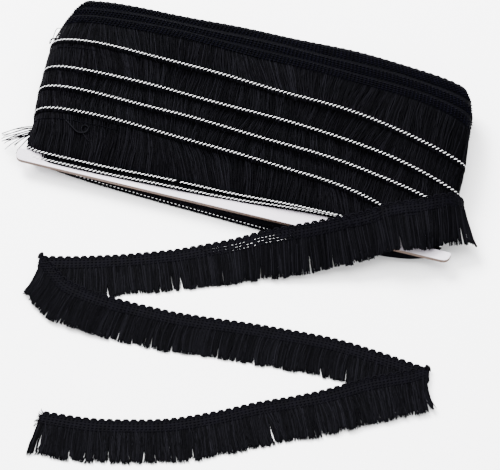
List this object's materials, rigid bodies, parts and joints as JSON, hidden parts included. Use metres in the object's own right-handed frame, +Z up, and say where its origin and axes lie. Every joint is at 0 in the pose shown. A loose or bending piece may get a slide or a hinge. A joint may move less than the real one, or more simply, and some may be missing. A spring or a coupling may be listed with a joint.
{
  "type": "tassel fringe trim on a card",
  "caption": "Brush fringe trim with a scalloped crocheted heading, wound in overlapping wraps on a flat card, its free end laid out in a zigzag.",
  "frame": {"origin": "middle of the whole seen from above, on the surface that it lies on", "axes": "+X along the card's long edges, towards the end that the free end leaves; +Y from the free end towards the card; +Z up"},
  "size_m": [0.261, 0.2835, 0.0302],
  "materials": {
    "black_yarn": "matt twisted yarn with a faint sheen",
    "white_stitch": "matt sewing thread",
    "card_board": "white paper faces",
    "card_edge": "raw brown cut edge"
  },
  "bodies": {
    "root": {"card": "card_board", "wound_trim": "black_yarn", "heading": "black_yarn", "fringe_on_pack": "black_yarn", "fringe_over_edge": "black_yarn", "fringe_run_1": "black_yarn", "fringe_run_2": "black_yarn", "fringe_run_3": "black_yarn", "loose_strands": "black_yarn"}
  },
  "joints": []
}
